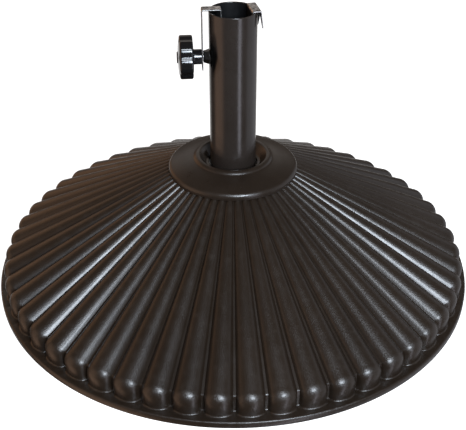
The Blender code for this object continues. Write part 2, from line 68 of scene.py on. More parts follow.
FOOT_FILLET = 0.0020
CREST_STEPS = 18                # columns of faces across one flute
CREST_ARC = 0.60                # height of the flute's arc over half its width
FOOT_SQUARENESS = 0.4           # how much squarer a flute's outline is at its foot

COLLAR_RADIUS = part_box("collar_cover")[1].x
COLLAR_EDGE_ROUND = 0.0055
COLLAR_EDGE_HEIGHT = 0.1430     # centre of the rolled edge
BEAD_RADIUS = 0.0415            # the bead's crest
BEAD_TOP = 0.1593
BEAD_INNER_ROUND = 0.0030
BEAD_OUTER_ROUND = 0.0060
COLLAR_BORE_RADIUS = 0.0290
COLLAR_NOTCH_ANGLE = math.radians(155)
COLLAR_NOTCH_REACH = 0.0360
COLLAR_NOTCH_WIDTH = 0.0090

TUBE_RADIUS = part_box("post_tube")[1].x
TUBE_WALL = 0.0015
TUBE_BOTTOM, TUBE_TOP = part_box("post_tube")[0].z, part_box("post_tube")[1].z

AXIS_HEIGHT = 0.2842            # of the hand screw
STUD_RADIUS = 0.0050
STUD_TIP = 0.0145
THREAD_PITCH = 0.0015
THREAD_DEPTH = 0.0009
HOLE_GAP = 0.0006               # round the stud in the post's wall
BOSS_INNER = 0.0235
BOSS_FACE = 0.0333
BOSS_BASE_RADIUS = 0.0100
BOSS_FACE_RADIUS = 0.0068
NECK_RADIUS = 0.0085
NECK_FACE = 0.0353
NECK_FILLET = 0.0016
NECK_EDGE = 0.0006
KNOB_RADIUS = 0.0245
KNOB_LOBES = 6
KNOB_PHASE = math.radians(21.6)
KNOB_LOBE_DEPTH = 0.0034
KNOB_VALLEY_POWER = 0.36        # below 1 the lobes are broad and the valleys narrow
KNOB_VALLEY_ROUND = 0.012       # keeps the valleys' bottoms from being sharp
KNOB_HUB_RADIUS = 0.0140        # round inside it, lobed outside
KNOB_BACK_RADIUS = 0.0130
KNOB_INNER = 0.0449
KNOB_OUTER = 0.0602             # edge of the domed outer face
KNOB_CROWN = 0.0620             # its middle, around the cap
KNOB_EDGE = 0.0022
CAP_RADIUS = 0.0065
CAP_SEAT = 0.0605
CAP_TOP = 0.0633
BORE_END = 0.0555

# the clips: outer and inner are reaches from the post's axis, top and the feet are heights
CLIP = dict(thickness=0.0013, width=0.0125, top=0.3402, outer=0.0350, inner=0.0129,
            outer_foot=0.2698, inner_foot=0.2620, bend=0.0019)
ADAPTER = dict(thickness=0.0012, width=0.0290, top=0.3388, outer=0.0293, inner=0.0188,
               outer_foot=0.3190, inner_foot=0.2850, bend=0.0018)
ADAPTER_ANGLE = math.radians(7.3)
TONGUE_HALF = 0.0068
TONGUE_NOTCH_TOP = 0.3340
TONGUE_POINT = 0.12             # half-width of the middle tongue's point, as a share
TONGUE_SIDE = 0.0012            # width of a side tongue's point
TONGUE_FLARE = 0.12             # side tongues, out from the post over height
TONGUE_PRESS = 0.055            # middle tongue, in towards the post


# ---------------------------------------------------------------- mesh helpers
def arc(centre, radius, start, end, count):
    """Points on an arc, angles in degrees from +X."""
    points = []
    for i in range(count + 1):
        angle = math.radians(start + (end - start) * i / count)
        points.append((centre[0] + radius * math.cos(angle), centre[1] + radius * math.sin(angle)))
    return points


def loft(name, rows, loop=False, caps=False):
    """Faces between neighbouring closed rows of points. loop joins the last row to the first."""
    bm = bmesh.new()
    grid = [[bm.verts.new(point) for point in row] for row in rows]
    count = len(grid[0])
    pairs = list(zip(grid, grid[1:])) + ([(grid[-1], grid[0])] if loop else [])
    for a, b in pairs:
        for i in range(count):
            j = (i + 1) % count
            bm.faces.new((a[i], a[j], b[j], b[i]))
    if caps:
        bm.faces.new(grid[0])
        bm.faces.new(grid[-1])
    bmesh.ops.remove_doubles(bm, verts=bm.verts, dist=1e-6)
    bmesh.ops.dissolve_degenerate(bm, edges=bm.edges, dist=1e-7)
    bmesh.ops.recalc_face_normals(bm, faces=bm.faces)
    mesh = bpy.data.meshes.new(name)
    bm.to_mesh(mesh)
    bm.free()
    return mesh


def ring(radius, height, steps):
    """A closed row of points round Z."""
    angles = [2 * math.pi * i / steps for i in range(steps)]
    return [(radius * math.cos(a), radius * math.sin(a), height) for a in angles]


def turned(name, profile, steps, loop=False):
    """A profile of (radius, height) turned about Z."""
    return loft(name, [ring(radius, height, steps) for radius, height in profile], loop)


def prism(name, radius_1, radius_2, depth, sides, place):
    """A closed prism or cone frustum that stands on the XY plane of its place."""
    mesh = bpy.data.meshes.new(name)
    bm = bmesh.new()
    bmesh.ops.create_cone(bm, cap_ends=True, cap_tris=False, segments=sides,
                          radius1=radius_1, radius2=radius_2, depth=depth)
    bmesh.ops.translate(bm, verts=bm.verts, vec=(0, 0, depth / 2))
    bm.transform(place)
    bm.to_mesh(mesh)
    bm.free()
    return mesh


def box_mesh(name, low, high, place):
    """A closed box between two corners, in its place."""
    mesh = bpy.data.meshes.new(name)
    bm = bmesh.new()
    bmesh.ops.create_cube(bm, size=1.0)
    size = [b - a for a, b in zip(low, high)]
    middle = [(a + b) / 2 for a, b in zip(low, high)]
    bm.transform(place @ Matrix.Translation(middle) @ Matrix.Diagonal((*size, 1.0)))
    bm.to_mesh(mesh)
    bm.free()
    return mesh


def piece(name, mesh, materials, angle=35):
    """A named object with its materials, smooth except at edges over the angle."""
    mesh.name = name
    obj = bpy.data.objects.new(name, mesh)
    bpy.context.scene.collection.objects.link(obj)
    for material in materials:
        mesh.materials.append(material)
    mesh.shade_smooth()
    mesh.set_sharp_from_angle(angle=math.radians(angle))
    return obj


def carry_out(obj):
    """Swap the object's mesh for the one that its modifiers make."""
    graph = bpy.context.evaluated_depsgraph_get()
    graph.update()
    mesh = bpy.data.meshes.new_from_object(obj.evaluated_get(graph))
    obj.modifiers.clear()
    obj.data = mesh


def cut(obj, *tools):
    """Cut meshes away from the object."""
    for tool in tools:
        cutter = bpy.data.objects.new("cutter", tool)
        bpy.context.scene.collection.objects.link(cutter)
        boolean = obj.modifiers.new("cut", "BOOLEAN")
        boolean.solver = "EXACT"
        boolean.object = cutter
        carry_out(obj)
        bpy.data.objects.remove(cutter, do_unlink=True)


def soften(obj, width, segments=2, angle=40):
    """Break the sharp edges with a small round."""
    bevel = obj.modifiers.new("edges", "BEVEL")
    bevel.width = width
    bevel.segments = segments
    bevel.limit_method = "ANGLE"
    bevel.angle_limit = math.radians(angle)
    bevel.use_clamp_overlap = True
    carry_out(obj)
    obj.data.shade_smooth()
    obj.data.set_sharp_from_angle(angle=math.radians(angle))


def stands_for(obj, body, slot, *nodes):
    """Ride on a body and replace CAD nodes. The slot is not used."""
    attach(obj, body)
    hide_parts(*nodes)


def about_screw_axis(distance):
    """Local +Z runs outwards along the hand screw, from this distance off the post's axis."""
    place = Matrix.Translation((-distance, 0, AXIS_HEIGHT))
    return place @ Matrix.Rotation(math.radians(-90), 4, "Y")


def drill(gap, start, end):
    """The stud's hole, to be cut away between two distances off the post's axis."""
    radius = STUD_RADIUS + gap
    return prism("hole", radius, radius, end - start, 32, about_screw_axis(start))


# ---------------------------------------------------------------- materials
class Finish:
    """A Principled material whose node inputs are set or linked by name."""

    def __init__(self, name, **values):
        self.material = bpy.data.materials.new(name)
        self.material.use_nodes = True
        self.tree = self.material.node_tree
        self.shader = self.tree.nodes["Principled BSDF"]
        for key, value in values.items():
            self.shader.inputs[key.replace("_", " ")].default_value = value
        self.place = self.tree.nodes.new("ShaderNodeTexCoord").outputs["Object"]

    def node(self, kind, inputs=None, **settings):
        made = self.tree.nodes.new(kind)
        for key, value in settings.items():
            setattr(made, key, value)
        for key, value in (inputs or {}).items():
            if isinstance(value, bpy.types.NodeSocket):
                self.tree.links.new(value, made.inputs[key])
            else:
                made.inputs[key].default_value = value
        return made

    def noise(self, scale, detail=3.0, roughness=0.55, stretch=None):
        place = self.place
        if stretch:
            place = self.node("ShaderNodeMapping", {"Vector": place, "Scale": stretch}).outputs[0]
        inputs = {"Vector": place, "Scale": scale, "Detail": detail, "Roughness": roughness}
        return self.node("ShaderNodeTexNoise", inputs).outputs["Fac"]

    def cells(self, scale):
        inputs = {"Vector": self.place, "Scale": scale}
        return self.node("ShaderNodeTexVoronoi", inputs).outputs["Distance"]

    def spread(self, value, low, high, out_low, out_high):
        """Map a value's range low..high to out_low..out_high."""
        inputs = {"Value": value, "From Min": low, "From Max": high}
        inputs.update({"To Min": out_low, "To Max": out_high})
        return self.node("ShaderNodeMapRange", inputs).outputs[0]

    def sum(self, a, b, share=1.0):
        scaled = self.node("ShaderNodeMath", {0: b, 1: share}, operation="MULTIPLY").outputs[0]
        return self.node("ShaderNodeMath", {0: a, 1: scaled}, operation="ADD").outputs[0]

    def product(self, a, b):
        return self.node("ShaderNodeMath", {0: a, 1: b}, operation="MULTIPLY").outputs[0]

    def blend(self, share, a, b):
        """Colours a and b mixed by a share."""
        mix = self.node("ShaderNodeMix", {0: share}, data_type="RGBA")
        for socket, value in ((6, a), (7, b)):
            if isinstance(value, bpy.types.NodeSocket):
                self.tree.links.new(value, mix.inputs[socket])
            else:
                mix.inputs[socket].default_value = (*value, 1.0)
        return mix.outputs[2]

    def attribute(self, name):
        return self.node("ShaderNodeAttribute", attribute_name=name).outputs["Fac"]

    def pair(self, operation, a, b):
        """One number from two vectors."""
        return self.node("ShaderNodeVectorMath", {0: a, 1: b}, operation=operation).outputs["Value"]

    def edges(self, radius):
        """1 near the piece's edges, 0 away from them."""
        rounded = self.node("ShaderNodeBevel", {"Radius": radius}, samples=4).outputs[0]
        flat = self.node("ShaderNodeNewGeometry").outputs["Normal"]
        return self.spread(self.pair("DOT_PRODUCT", rounded, flat), 1.0, 0.90, 0.0, 1.0)

    def link(self, value, name):
        self.tree.links.new(value, self.shader.inputs[name])

    def relief(self, height, depth):
        """Small relief of the surface, its depth in metres."""
        bump = self.node("ShaderNodeBump", {"Height": height, "Distance": depth, "Strength": 1.0})
        self.link(bump.outputs[0], "Normal")


def shell_resin():
    """Moulded resin, dark bronze, with a fine stipple on the flutes."""
    f = Finish("shell_resin", IOR=1.42, Coat_Weight=0.2, Coat_Roughness=0.18)
    tone = f.spread(f.noise(7, 4), 0.35, 0.65, 0.0, 1.0)
    colour = f.blend(tone, (0.0100, 0.0062, 0.0037), (0.0140, 0.0089, 0.0055))
    dust = f.product(f.spread(f.noise(120, 5, 0.7), 0.52, 0.75, 0.0, 0.35), f.attribute("rise"))
    f.link(f.blend(dust, colour, (0.032, 0.025, 0.020)), "Base Color")
    f.link(f.spread(f.noise(60, 4), 0.3, 0.7, 0.33, 0.43), "Roughness")
    grain = f.sum(f.noise(620, 2, 0.6), f.noise(1900, 2, 0.5), 0.35)
    f.relief(f.product(grain, f.spread(f.attribute("rise"), 0.0, 0.6, 0.35, 1.0)), 0.00027)
    return f.material


def collar_resin():
    """The same resin, smoother."""
    f = Finish("collar_resin", IOR=1.46)
    tone = f.spread(f.noise(14, 4), 0.35, 0.65, 0.0, 1.0)
    f.link(f.blend(tone, (0.0110, 0.0072, 0.0048), (0.0155, 0.0105, 0.0072)), "Base Color")
    f.link(f.spread(f.noise(80, 4), 0.3, 0.7, 0.27, 0.35), "Roughness")
    f.relief(f.sum(f.noise(700, 2), f.noise(90, 2), 0.6), 0.00008)
    return f.material


def post_coating():
    """Satin powder coat with its slight orange peel, with a painted shadow in black round the boss."""
    f = Finish("post_coating", IOR=1.5)
    tone = f.spread(f.noise(20, 3), 0.35, 0.65, 0.0, 1.0)
    colour = f.blend(tone, (0.0145, 0.0110, 0.0090), (0.0185, 0.0145, 0.0122))
    # painted shadow: the coat goes near black in a soft, ragged circle round the boss
    from_boss = f.pair("DISTANCE", f.place, (-TUBE_RADIUS, 0, AXIS_HEIGHT))
    painted_boss_shadow = f.spread(f.sum(from_boss, f.noise(60, 3), 0.006), 0.0285, 0.0245, 0.0, 1.0)
    colour = f.blend(painted_boss_shadow, colour, (0.0020, 0.0019, 0.0019))
    f.link(f.blend(f.product(f.edges(0.0004), 0.5), colour, (0.075, 0.068, 0.062)), "Base Color")
    f.link(f.spread(f.noise(150, 3), 0.3, 0.7, 0.17, 0.25), "Roughness")
    f.relief(f.sum(f.noise(900, 2), f.noise(300, 2), 0.8), 0.00003)
    return f.material


def bore_painted_shade():
    """Painted shade inside the tube: its wall near black, streaked where poles have rubbed it."""
    f = Finish("bore_painted_shade", IOR=1.4, Specular_IOR_Level=0.2)
    rub = f.spread(f.noise(90, 4, 0.6, (1, 1, 0.1)), 0.50, 0.75, 0.0, 0.6)
    # painted shade: the bore's colour is near black, far darker than the coat outside
    f.link(f.blend(rub, (0.0022, 0.0024, 0.0028), (0.0090, 0.0092, 0.0100)), "Base Color")
    f.link(f.spread(f.noise(150, 3), 0.3, 0.7, 0.42, 0.56), "Roughness")
    f.relief(f.noise(600, 2), 0.00004)
    return f.material


def boss_paint():
    """Semi-gloss black paint over a forged nut, thin along its edges."""
    f = Finish("boss_paint", IOR=1.5)
    tone = f.spread(f.noise(200, 4), 0.35, 0.65, 0.0, 1.0)
    colour = f.blend(tone, (0.0025, 0.0023, 0.0023), (0.0055, 0.0050, 0.0048))
    f.link(f.blend(f.product(f.edges(0.0004), 0.6), colour, (0.09, 0.085, 0.08)), "Base Color")
    f.link(f.spread(f.noise(300, 3), 0.3, 0.7, 0.20, 0.34), "Roughness")
    f.relief(f.noise(600, 3), 0.00012)
    return f.material


def knob_resin(name, colour, roughness):
    """Glossy moulded resin with faint handling marks."""
    f = Finish(name, IOR=1.55)
    marks = f.spread(f.noise(260, 5, 0.7, (1, 1, 6)), 0.56, 0.78, 0.0, 0.6)
    lighter = tuple(c * 2.2 + 0.003 for c in colour)
    f.link(f.blend(marks, colour, lighter), "Base Color")
    f.link(f.spread(f.noise(180, 4), 0.3, 0.7, roughness * 0.8, roughness * 1.35), "Roughness")
    f.relief(f.noise(450, 2), 0.00001)
    return f.material


def clip_steel():
    """Dark oiled strip steel, mottled, rubbed brighter along its edges, with a painted highlight on its
    top over the post's rim.
    """
    f = Finish("clip_steel", Metallic=1.0)
    mottle = f.spread(f.sum(f.noise(150, 5, 0.7), f.noise(700, 3), 0.35), 0.55, 0.85, 0.0, 1.0)
    height = f.node("ShaderNodeSeparateXYZ", {0: f.place}).outputs["Z"]
    # painted highlight: bright, grainy colour on the strip's top, where it lies over the post's rim
    painted_top_highlight = f.spread(height, TUBE_TOP - 0.003, TUBE_TOP + 0.0008, 0.0, 1.0)
    colour = f.blend(mottle, (0.020, 0.019, 0.019), (0.070, 0.068, 0.066))
    colour = f.blend(painted_top_highlight, colour, f.blend(mottle, (0.06, 0.06, 0.06), (0.92, 0.90, 0.87)))
    f.link(f.blend(f.product(f.edges(0.0003), 0.5), colour, (0.40, 0.39, 0.38)), "Base Color")
    f.link(f.spread(f.noise(240, 4, 0.6), 0.3, 0.7, 0.32, 0.58), "Roughness")
    f.relief(f.sum(f.noise(500, 3), f.noise(90, 2), 0.5), 0.00008)
    return f.material


def cut_steel():
    """The strip's sheared edges: bare steel with fine shear lines."""
    f = Finish("cut_steel", Metallic=1.0)
    lines = f.noise(1400, 3, 0.6, (1, 0.15, 1))
    shine = f.spread(lines, 0.35, 0.65, 0.0, 1.0)
    f.link(f.blend(shine, (0.20, 0.20, 0.20), (0.62, 0.62, 0.61)), "Base Color")
    f.link(f.spread(lines, 0.3, 0.7, 0.25, 0.42), "Roughness")
    f.relief(lines, 0.00006)
    return f.material


def zinc_steel():
    """Bright zinc plate with its cloudy crystals."""
    f = Finish("zinc_steel", Metallic=1.0)
    cloud = f.spread(f.sum(f.noise(110, 4), f.cells(420), 0.25), 0.45, 0.80, 0.0, 1.0)
    colour = f.blend(cloud, (0.33, 0.33, 0.34), (0.60, 0.60, 0.58))
    f.link(f.blend(f.product(f.edges(0.0004), 0.6), colour, (0.78, 0.78, 0.76)), "Base Color")
    f.link(f.spread(f.noise(320, 4), 0.3, 0.7, 0.26, 0.44), "Roughness")
    f.relief(f.noise(800, 3, 0.6, (1, 1, 0.3)), 0.00004)
    return f.material


def concrete():
    """Raw cast concrete: sand grain, grey clouds and small air holes."""
    f = Finish("concrete", Specular_IOR_Level=0.3)
    cloud = f.spread(f.noise(9, 6, 0.65), 0.35, 0.65, 0.0, 1.0)
    colour = f.blend(cloud, (0.24, 0.235, 0.225), (0.40, 0.39, 0.365))
    sand = f.spread(f.noise(900, 4, 0.7), 0.40, 0.62, 0.0, 0.5)
    colour = f.blend(sand, colour, (0.47, 0.45, 0.41))
    holes = f.spread(f.cells(140), 0.0, 0.13, 1.0, 0.0)
    f.link(f.blend(holes, colour, (0.08, 0.078, 0.075)), "Base Color")
    f.link(f.spread(f.noise(200, 4), 0.3, 0.7, 0.82, 0.96), "Roughness")
    grain = f.sum(f.noise(700, 4, 0.7), f.noise(40, 4), 1.2)
    f.relief(f.sum(grain, holes, -1.5), 0.0006)
    return f.material


def pan_resin():
    """Matt black moulded resin with a pebbled grain and scuffs from the ground."""
    f = Finish("pan_resin", IOR=1.46)
    scuff = f.spread(f.noise(45, 6, 0.75, (1, 4, 1)), 0.55, 0.78, 0.0, 0.7)
    f.link(f.blend(scuff, (0.013, 0.0125, 0.012), (0.055, 0.053, 0.050)), "Base Color")
    f.link(f.spread(f.noise(90, 4), 0.3, 0.7, 0.50, 0.68), "Roughness")
    f.relief(f.sum(f.cells(650), f.noise(300, 3), 0.4), 0.0003)
    return f.material


# ---------------------------------------------------------------- the shell
def groove_height(radius):
    """Height of the groove floors at a radius."""
    return GROOVE_END_HEIGHT + (GROOVE_END_RADIUS - radius) * GROOVE_SLOPE


def shell_rows():
    """Rows of (groove point, crest point, squareness), from the crown down to the rim's edge."""
    tilt = math.atan(GROOVE_SLOPE)
    normal = 90 - math.degrees(tilt)
    crown = groove_height(CROWN_RADII[-1])
    rows = [((radius, crown), (radius, crown), 0.0) for radius in CROWN_RADII]
    length = GROOVE_END_RADIUS - FLUTE_START_RADIUS
    for share in (0.0, 0.02, 0.06, 0.12, 0.2, 0.3, 0.4, 0.5, 0.6, 0.7, 0.8, 0.88, 0.95, 0.985):
        radius = FLUTE_START_RADIUS + length * share
        height = FLUTE_START_HEIGHT + (FLUTE_END_HEIGHT - FLUTE_START_HEIGHT) * share
        floor = groove_height(radius)
        crest = (radius + height * math.sin(tilt), floor + height * math.cos(tilt))
        rows.append(((radius, floor), crest, 0.0))
    middle = GROOVE_FOOT_RADIUS - GROOVE_SHOULDER
    line = (GROOVE_END_RADIUS - middle) * math.sin(tilt) + GROOVE_END_HEIGHT * math.cos(tilt)
    shoulder = (middle, (line - GROOVE_SHOULDER) / math.cos(tilt))
    squarer = [0.1 * i for i in range(9)]
    rows += zip(arc(shoulder, GROOVE_SHOULDER, normal, 0, 8),
                arc(SHOULDER_CENTRE, SHOULDER_ROUND, normal, 0, 8), squarer)
    top = SHOULDER_CENTRE[1]
    foot = LIP_HEIGHT + FOOT_FILLET
    crest_radius = SHOULDER_CENTRE[0] + SHOULDER_ROUND
    for share in (0.3, 0.6, 0.85):
        height = top + (foot - top) * share
        lean = (CREST_FOOT_RADIUS - crest_radius) * share
        rows.append(((GROOVE_FOOT_RADIUS, height), (crest_radius + lean, height), 1.0))
    rows += zip(arc((GROOVE_FOOT_RADIUS + FOOT_FILLET, foot), FOOT_FILLET, 180, 270, 4),
                arc((CREST_FOOT_RADIUS + FOOT_FILLET, foot), FOOT_FILLET, 180, 270, 4), [1.0] * 5)
    edge = arc((BASE_RADIUS - LIP_ROUND, LIP_HEIGHT - LIP_ROUND), LIP_ROUND, 90, 0, 4)
    edge += [(BASE_RADIUS, 0.0008), (BASE_RADIUS - 0.0004, 0.0)]
    rows += [(point, point, 1.0) for point in edge]
    return rows


def make_shell(material):
    """Rows of points round the shell, each raised from the groove line to the crest line."""
    columns = [(0.0, 0.0)]
    arc_radius = (1 + CREST_ARC ** 2) / (2 * CREST_ARC)
    for i in range(CREST_STEPS + 1):
        across = 2 * i / CREST_STEPS - 1
        share = 0.5 + across * (0.5 - GROOVE_HALF_SHARE)
        drop = arc_radius - math.sqrt(arc_radius ** 2 - across ** 2)
        columns.append((share, max(0.0, 1 - drop / CREST_ARC)))
    pitch = 2 * math.pi / FLUTES
    points, rises = [], []
    for groove, crest, squareness in shell_rows():
        for flute in range(FLUTES):
            for share, arc_rise in columns:
                angle = FLUTE_PHASE + pitch * (flute + share)
                rise = arc_rise ** (1 - FOOT_SQUARENESS * squareness)
                radius = groove[0] + (crest[0] - groove[0]) * rise
                points.append((radius * math.cos(angle), radius * math.sin(angle),
                               groove[1] + (crest[1] - groove[1]) * rise))
                rises.append(rise)
    count = FLUTES * len(columns)
    faces = []
    for start in range(0, len(points) - count, count):
        for i in range(count):
            j = (i + 1) % count
            faces.append((start + i, start + count + i, start + count + j, start + j))
    mesh = bpy.data.meshes.new("shell")
    mesh.from_pydata(points, [], faces)
    attribute = mesh.attributes.new("rise", "FLOAT", "POINT")
    attribute.data.foreach_set("value", rises)
    shell = piece("shell_flutes", mesh, [material], 42)
    solidify = shell.modifiers.new("thickness", "SOLIDIFY")
    solidify.thickness = SHELL_THICKNESS
    solidify.offset = -1
    stands_for(shell, "base", "shell_resin", "fluted_shell")


# ---------------------------------------------------------------- collar and post
def make_collar(material):
    """Raised bead, sloping top, rolled outer edge and a dished middle with a notch in its inner edge."""
    floor = groove_height(CROWN_RADII[-1]) + FIT_GAP
    profile = arc((BEAD_RADIUS, BEAD_TOP - BEAD_INNER_ROUND), BEAD_INNER_ROUND, 158, 90, 6)
    profile += arc((BEAD_RADIUS, BEAD_TOP - BEAD_OUTER_ROUND), BEAD_OUTER_ROUND, 90, 28, 8)[1:]
    # the slope, the rolled edge, back under the slope and up the dished middle
    profile += [(0.0474, 0.15580), (0.0484, 0.15545), (0.0500, 0.15505), (0.0545, 0.15400)]
    profile += [(0.0610, 0.15235), (0.0660, 0.15048)]
    edge = (COLLAR_RADIUS - COLLAR_EDGE_ROUND, COLLAR_EDGE_HEIGHT)
    profile += arc(edge, COLLAR_EDGE_ROUND, 66, 0, 12)
    profile += [
        (COLLAR_RADIUS - 0.0003, 0.1401), (COLLAR_RADIUS - 0.0019, 0.1410),
        (COLLAR_RADIUS - 0.0030, 0.1432), (0.0700, 0.1463), (0.0480, 0.1545), (0.0440, 0.1553),
        (0.0345, floor), (COLLAR_BORE_RADIUS, floor), (COLLAR_BORE_RADIUS, floor + 0.0016),
        (COLLAR_BORE_RADIUS + 0.0004, floor + 0.0020), (0.0318, floor + 0.0021),
        (0.0328, floor + 0.0029), (0.0347, 0.1520), (0.0368, 0.1549), (0.0380, 0.1565),
    ]
    collar = piece("collar_trim", turned("collar", profile, 160, loop=True), [material], 40)
    turn = Matrix.Rotation(COLLAR_NOTCH_ANGLE, 4, "Z")
    half = COLLAR_NOTCH_WIDTH / 2
    cut(collar, box_mesh("notch", (COLLAR_BORE_RADIUS - 0.005, -half, floor - 0.003),
                         (COLLAR_NOTCH_REACH, half, BEAD_TOP), turn))
    collar.data.set_sharp_from_angle(angle=math.radians(40))
    stands_for(collar, "collar", "collar_resin", "collar_cover")


def make_post(material, inside):
    """Welded tube with a rolled rim and the hand screw's hole, the shade in its bore painted in."""
    inner = TUBE_RADIUS - TUBE_WALL
    rim = TUBE_WALL / 2
    heights = [TUBE_BOTTOM, 0.08, 0.15, 0.22, 0.27, 0.30]       # of the wall's rows of faces
    profile = [(TUBE_RADIUS, z) for z in heights]
    profile += arc((TUBE_RADIUS - rim, TUBE_TOP - rim), rim, 0, 180, 8)
    profile += [(inner, z) for z in reversed(heights)]
    post = piece("post_sleeve", turned("post", profile, 128, loop=True), [material, inside], 40)
    cut(post, drill(HOLE_GAP, 0.018, 0.038))
    post.data.set_sharp_from_angle(angle=math.radians(40))
    # faces that look inward below the rim take the bore's painted shade
    for face in post.data.polygons:
        outward = Vector((face.center.x, face.center.y, 0))
        if face.normal.dot(outward) < 0 and face.center.z < TUBE_TOP - TUBE_WALL:
            face.material_index = 1
    stands_for(post, "base", "post_coating", "post_tube")


# ---------------------------------------------------------------- the clamp
def make_boss(material):
    """Tapered hexagon nut welded to the post, its edges broken."""
    blank = prism("boss", BOSS_BASE_RADIUS, BOSS_FACE_RADIUS, BOSS_FACE - BOSS_INNER, 6,
                  about_screw_axis(BOSS_INNER))
    boss = piece("boss_nut", blank, [material])
    soften(boss, 0.0006, 3)
    post = TUBE_RADIUS + FIT_GAP
    saddle = prism("saddle", post, post, 0.05, 96, Matrix.Translation((0, 0, AXIS_HEIGHT - 0.025)))
    cut(boss, saddle, drill(FIT_GAP, 0.015, 0.045))
    boss.data.set_sharp_from_angle(angle=math.radians(40))
    stands_for(boss, "base", "boss_paint", "clamp_boss")


def make_stud(material):
    """Threaded rod with a real helical thread and a turned tip."""
    end = BORE_END - FIT_GAP
    tip = STUD_TIP + 0.0012
    steps, per_pitch = 28, 8
    count = round((end - tip) / THREAD_PITCH * per_pitch)
    rows = [ring(0.0, end, steps)]
    for i in range(count + 1):
        height = end + (tip - end) * i / count
        row = []
        for k in range(steps):
            phase = (height / THREAD_PITCH - k / steps) % 1
            groove = min(1.0, max(0.0, 1.5 - abs(phase - 0.5) * 4))
            radius = STUD_RADIUS - THREAD_DEPTH * groove
            angle = 2 * math.pi * k / steps
            row.append((radius * math.cos(angle), radius * math.sin(angle), height))
        rows.append(row)
    rows.append(ring(STUD_RADIUS - THREAD_DEPTH, tip, steps))
    rows.append(ring(STUD_RADIUS - THREAD_DEPTH - 0.0004, STUD_TIP, steps))
    rows.append(ring(0.0, STUD_TIP, steps))
    stud = piece("stud_thread", loft("stud", rows), [material], 40)
    stud.matrix_world = about_screw_axis(0.0)
    stands_for(stud, "hand_screw", "zinc_steel", "clamp_stud")


def make_knob(material):
    """Hand grip with rounded lobes and edges, a neck with a fillet and a recess for its cap."""
    edge = arc((KNOB_RADIUS - KNOB_EDGE, KNOB_OUTER - KNOB_EDGE), KNOB_EDGE, 90, 0, 6)
    back = arc((KNOB_RADIUS - KNOB_EDGE, KNOB_INNER + KNOB_EDGE), KNOB_EDGE, 0, -90, 6)
    fillet = arc((NECK_RADIUS + NECK_FILLET, KNOB_INNER - NECK_FILLET), NECK_FILLET, 90, 180, 4)
    neck_edge = arc((NECK_RADIUS - NECK_EDGE, NECK_FACE + NECK_EDGE), NECK_EDGE, 0, -90, 3)
    recess = CAP_RADIUS + FIT_GAP
    profile = [(0.0, CAP_SEAT), (recess, CAP_SEAT), (recess, KNOB_CROWN - 0.0004),
               (recess + 0.0004, KNOB_CROWN)]
    face = KNOB_RADIUS - KNOB_EDGE
    for share in (0.25, 0.5, 0.75, 0.92):
        radius = CAP_RADIUS + (face - CAP_RADIUS) * share
        profile.append((radius, KNOB_CROWN - (KNOB_CROWN - KNOB_OUTER) * share ** 2))
    hold = 0.0003                   # keeps the side's shading flat up to its rounded edges
    side = spaced(KNOB_OUTER - KNOB_EDGE - hold, KNOB_INNER + KNOB_EDGE + hold)
    profile += edge + [(KNOB_RADIUS, height) for height in side]
    profile += back + [(KNOB_BACK_RADIUS, KNOB_INNER)]
    bore = STUD_RADIUS + FIT_GAP
    profile += fillet + neck_edge + [(bore, NECK_FACE), (bore, BORE_END), (0.0, BORE_END)]
    steps = KNOB_LOBES * 18
    rows = []
    for radius, height in profile:
        row = []
        for i in range(steps):
            angle = 2 * math.pi * i / steps
            wave = math.cos((angle - KNOB_PHASE) * KNOB_LOBES / 2) ** 2
            valley = 1 - (wave + KNOB_VALLEY_ROUND) ** KNOB_VALLEY_POWER
            lobed = max(0.0, min(1.0, (radius - KNOB_HUB_RADIUS) / (face - KNOB_HUB_RADIUS)))
            at = radius - KNOB_LOBE_DEPTH * valley * lobed * lobed
            row.append((at * math.cos(angle), at * math.sin(angle), height))
        rows.append(row)
    knob = piece("knob_grip", loft("knob", rows), [material], 44)
    knob.matrix_world = about_screw_axis(0.0)
    stands_for(knob, "hand_screw", "knob_resin", "knob_body")


def make_cap(material):
    """Plain disc with a rolled edge and a slightly domed face."""
    bottom = CAP_SEAT + FIT_GAP
    rim, roll = CAP_TOP - 0.0002, 0.0007
    profile = [(0.0, CAP_TOP), (CAP_RADIUS * 0.5, rim + 0.00012)]
    profile += arc((CAP_RADIUS - roll, rim - roll), roll, 90, 0, 5)
    profile += [(CAP_RADIUS, bottom), (0.0, bottom)]
    cap = piece("knob_button", turned("cap", profile, 64), [material], 40)
    cap.matrix_world = about_screw_axis(0.0)
    stands_for(cap, "hand_screw", "cap_resin", "knob_cap")


def strip_path(thickness, top, outer, inner, outer_foot, inner_foot, bend, **_):
    """Middle line (reach, height) of a strip bent over the post's rim, with its normals."""
    radius = bend - thickness / 2
    high = top - thickness / 2
    a, b = inner + thickness / 2, outer - thickness / 2
    path = [((a, z), (-1, 0)) for z in spaced(inner_foot, high - radius)]
    for x, y in arc((0, 0), 1, 180, 90, 6):
        path.append(((a + radius + radius * x, high - radius + radius * y), (x, y)))
    for x in spaced(a + radius, b - radius)[1:-1]:
        path.append(((x, high), (0, 1)))
    for x, y in arc((0, 0), 1, 90, 0, 6):
        path.append(((b - radius + radius * x, high - radius + radius * y), (x, y)))
    path += [((b, z), (1, 0)) for z in spaced(high - radius, outer_foot)[1:]]
    return path


def spaced(start, end, step=0.0025):
    """Evenly spaced values from start to end, no further apart than the step."""
    count = max(2, math.ceil(abs(end - start) / step))
    return [start + (end - start) * i / count for i in range(count + 1)]


